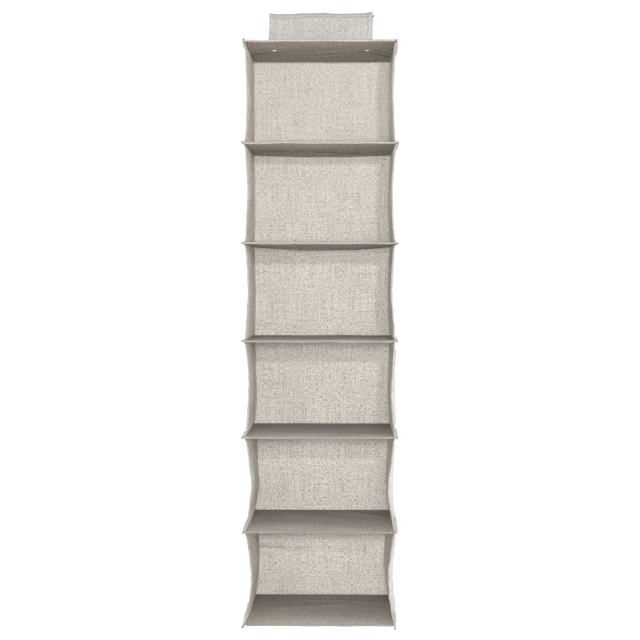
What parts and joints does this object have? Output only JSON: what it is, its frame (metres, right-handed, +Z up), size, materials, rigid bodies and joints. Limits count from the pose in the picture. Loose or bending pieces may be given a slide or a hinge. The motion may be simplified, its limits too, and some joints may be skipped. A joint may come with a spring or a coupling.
{
  "type": "hanging shoe organizer",
  "caption": "Open-fronted hanging fabric organizer: cloth-covered shelves between sagging side walls and a flat back, under a wide strap that closes over a closet rod.",
  "frame": {"origin": "on the axis of the closet rod, at the middle of the strap's width and depth", "axes": "+X across the front to the viewer's right, -Y out of the open front, +Z up"},
  "size_m": [0.3204, 0.3, 1.2655],
  "materials": {
    "linen_cloth": "coarse plain weave with slubs, greige",
    "stiffener": "plain board",
    "hook_and_loop": "hook and loop tape",
    "thread": "polyester sewing thread"
  },
  "bodies": {
    "top": {"top_cover": "linen_cloth", "top_board": "stiffener", "left_side_1": "linen_cloth", "right_side_1": "linen_cloth", "back_1": "linen_cloth", "strap_band": "linen_cloth", "strap_rear_tab": "linen_cloth", "loop_tape": "hook_and_loop", "bar_tacks": "thread"},
    "shelf_1": {"shelf_1_cover": "linen_cloth", "shelf_1_board": "stiffener", "left_side_2": "linen_cloth", "right_side_2": "linen_cloth", "back_2": "linen_cloth"},
    "shelf_2": {"shelf_2_cover": "linen_cloth", "shelf_2_board": "stiffener", "left_side_3": "linen_cloth", "right_side_3": "linen_cloth", "back_3": "linen_cloth"},
    "shelf_3": {"shelf_3_cover": "linen_cloth", "shelf_3_board": "stiffener", "left_side_4": "linen_cloth", "right_side_4": "linen_cloth", "back_4": "linen_cloth"},
    "shelf_4": {"shelf_4_cover": "linen_cloth", "shelf_4_board": "stiffener", "left_side_5": "linen_cloth", "right_side_5": "linen_cloth", "back_5": "linen_cloth"},
    "shelf_5": {"shelf_5_cover": "linen_cloth", "shelf_5_board": "stiffener", "left_side_6": "linen_cloth", "right_side_6": "linen_cloth", "back_6": "linen_cloth"},
    "base": {"base_cover": "linen_cloth", "base_board": "stiffener"},
    "flap": {"strap_flap": "linen_cloth", "hook_tape": "hook_and_loop"}
  },
  "joints": [
    {"name": "collapse_1", "type": "slide", "parent": "top", "child": "shelf_1", "axis": [0, 0, 1], "range_m": [0, 0.1913], "deforming": ["left_side_1", "right_side_1", "back_1"]},
    {"name": "collapse_2", "type": "slide", "parent": "shelf_1", "child": "shelf_2", "axis": [0, 0, 1], "range_m": [0, 0.1881], "deforming": ["left_side_2", "right_side_2", "back_2"]},
    {"name": "collapse_3", "type": "slide", "parent": "shelf_2", "child": "shelf_3", "axis": [0, 0, 1], "range_m": [0, 0.1849], "deforming": ["left_side_3", "right_side_3", "back_3"]},
    {"name": "collapse_4", "type": "slide", "parent": "shelf_3", "child": "shelf_4", "axis": [0, 0, 1], "range_m": [0, 0.1817], "deforming": ["left_side_4", "right_side_4", "back_4"]},
    {"name": "collapse_5", "type": "slide", "parent": "shelf_4", "child": "shelf_5", "axis": [0, 0, 1], "range_m": [0, 0.1785], "deforming": ["left_side_5", "right_side_5", "back_5"]},
    {"name": "collapse_6", "type": "slide", "parent": "shelf_5", "child": "base", "axis": [0, 0, 1], "range_m": [0, 0.1753], "deforming": ["left_side_6", "right_side_6", "back_6"]},
    {"name": "strap_open", "type": "hinge", "parent": "top", "child": "flap", "pos_m": [0, 0.01775, 0.0065], "axis": [1, 0, 0], "range_deg": [0, 120]}
  ]
}
